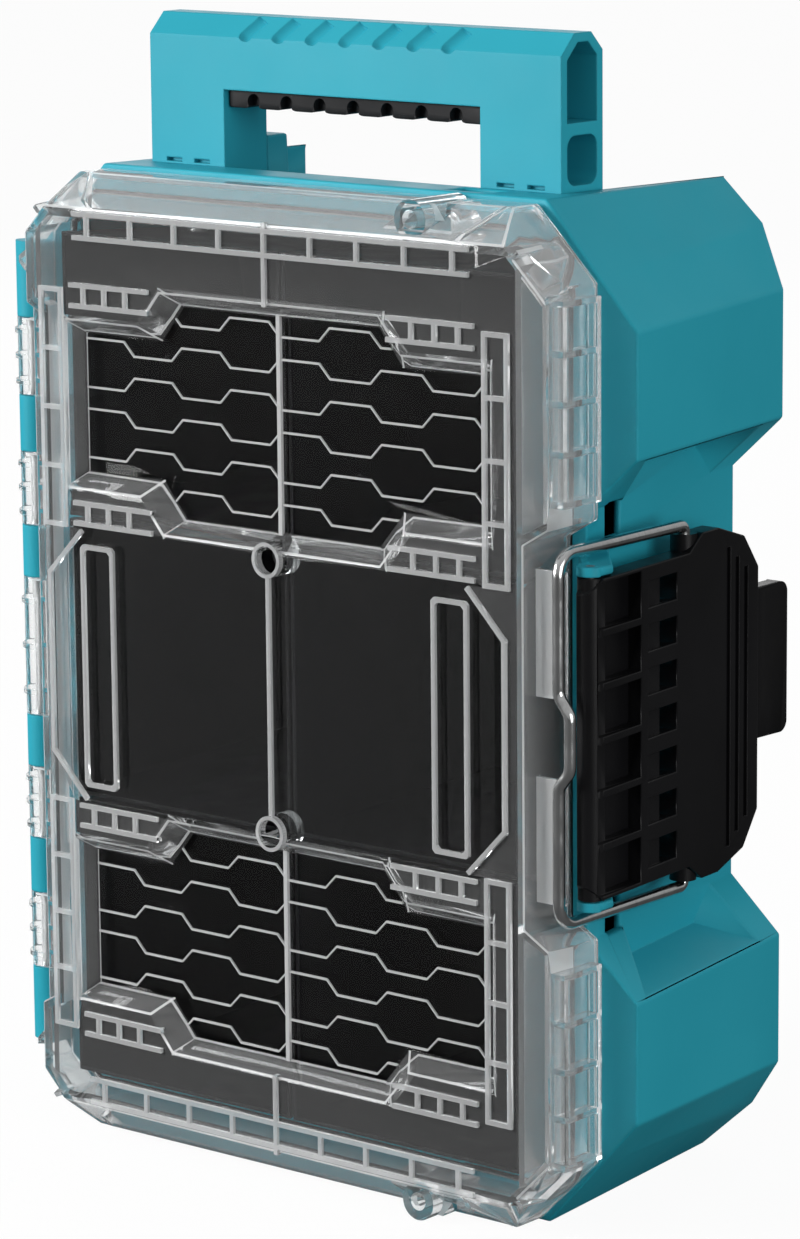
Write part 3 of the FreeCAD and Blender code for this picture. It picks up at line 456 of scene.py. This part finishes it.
def floor_material():
    """A floor that looks white, takes a faint shadow and throws little light back on the object."""
    colour_to_object = 0.12
    colour_shown = 0.95
    glow_share = 0.95
    mat = bpy.data.materials.new("floor")
    mat.use_nodes = True
    tree = mat.node_tree
    tree.nodes.clear()
    out = tree.nodes.new("ShaderNodeOutputMaterial")
    shown = shown_white(tree)
    colour = tree.nodes.new("ShaderNodeMapRange")
    colour.inputs["To Min"].default_value = colour_to_object
    colour.inputs["To Max"].default_value = colour_shown
    tree.links.new(shown, colour.inputs["Value"])
    diffuse = tree.nodes.new("ShaderNodeBsdfDiffuse")
    tree.links.new(colour.outputs["Result"], diffuse.inputs["Color"])
    glow = tree.nodes.new("ShaderNodeEmission")
    glow.inputs["Color"].default_value = white
    scale = tree.nodes.new("ShaderNodeMath")
    scale.operation = "MULTIPLY"
    scale.inputs[1].default_value = glow_share
    tree.links.new(shown, scale.inputs[0])
    mix = tree.nodes.new("ShaderNodeMixShader")
    tree.links.new(scale.outputs[0], mix.inputs["Fac"])
    tree.links.new(diffuse.outputs[0], mix.inputs[1])
    tree.links.new(glow.outputs[0], mix.inputs[2])
    tree.links.new(mix.outputs[0], out.inputs["Surface"])
    return mat


def make_floor():
    half = 15.0
    gap = 0.0004
    corners = [(-half, -half, 0), (half, -half, 0), (half, half, 0), (-half, half, 0)]
    mesh = bpy.data.meshes.new("floor")
    mesh.from_pydata(corners, [], [range(len(corners))])
    obj = add_object("floor", mesh)
    obj.location.z = -gap
    paint(obj, floor_material())


def make_world():
    """A soft light that grows from the horizon up, shown as white."""
    sky_low = 0.3
    sky_high = 0.5
    sky_shown = 1.0
    world = bpy.data.worlds.new("studio")
    bpy.context.scene.world = world
    world.use_nodes = True
    tree = world.node_tree
    background = tree.nodes["Background"]
    background.inputs["Color"].default_value = white
    place = tree.nodes.new("ShaderNodeTexCoord")
    parts = tree.nodes.new("ShaderNodeSeparateXYZ")
    tree.links.new(place.outputs["Generated"], parts.inputs["Vector"])
    sky = tree.nodes.new("ShaderNodeMapRange")
    sky.inputs["To Min"].default_value = sky_low
    sky.inputs["To Max"].default_value = sky_high
    tree.links.new(parts.outputs["Z"], sky.inputs["Value"])
    level = tree.nodes.new("ShaderNodeMapRange")
    level.inputs["To Max"].default_value = sky_shown
    tree.links.new(sky.outputs["Result"], level.inputs["To Min"])
    tree.links.new(shown_white(tree), level.inputs["Value"])
    tree.links.new(level.outputs["Result"], background.inputs["Strength"])


make_floor()
make_world()


# Lamps, turned to the middle of the case

lamp_target = Vector((0.0, 0.0, 0.2))


def add_lamp(name, place, size, power):
    light = bpy.data.lights.new(name, "AREA")
    light.shape = "RECTANGLE"
    light.size, light.size_y = size
    light.energy = power
    obj = add_object(name, light)
    obj.location = place
    away = Vector(place) - lamp_target
    obj.rotation_euler = away.to_track_quat("Z", "Y").to_euler()


add_lamp("key", place=(-1.35, -1.75, 0.85), size=(1.2, 1.0), power=56.5)
add_lamp("fill", place=(1.9, -0.4, 0.5), size=(1.2, 1.0), power=15.5)
add_lamp("rear", place=(-1.5, 1.6, 1.1), size=(1.2, 0.8), power=6.0)


# Camera at the photograph's viewing angle, with its angles in degrees and its focal length in pixels

def make_camera():
    place = (1.0326, -1.2513, 0.5069)
    tilt = 78.6723
    roll = 0.516
    heading = 39.6383
    focal_pixels = 4864.0
    picture_height_pixels = 1239.0
    camera = bpy.data.cameras.new("camera")
    camera.sensor_width = 36.0
    camera.lens = focal_pixels / picture_height_pixels * camera.sensor_width
    camera.clip_end = 100.0
    obj = add_object("camera", camera)
    obj.location = place
    obj.rotation_euler = [math.radians(angle) for angle in (tilt, roll, heading)]
    bpy.context.scene.camera = obj


make_camera()
bpy.context.scene.view_settings.view_transform = "Standard"
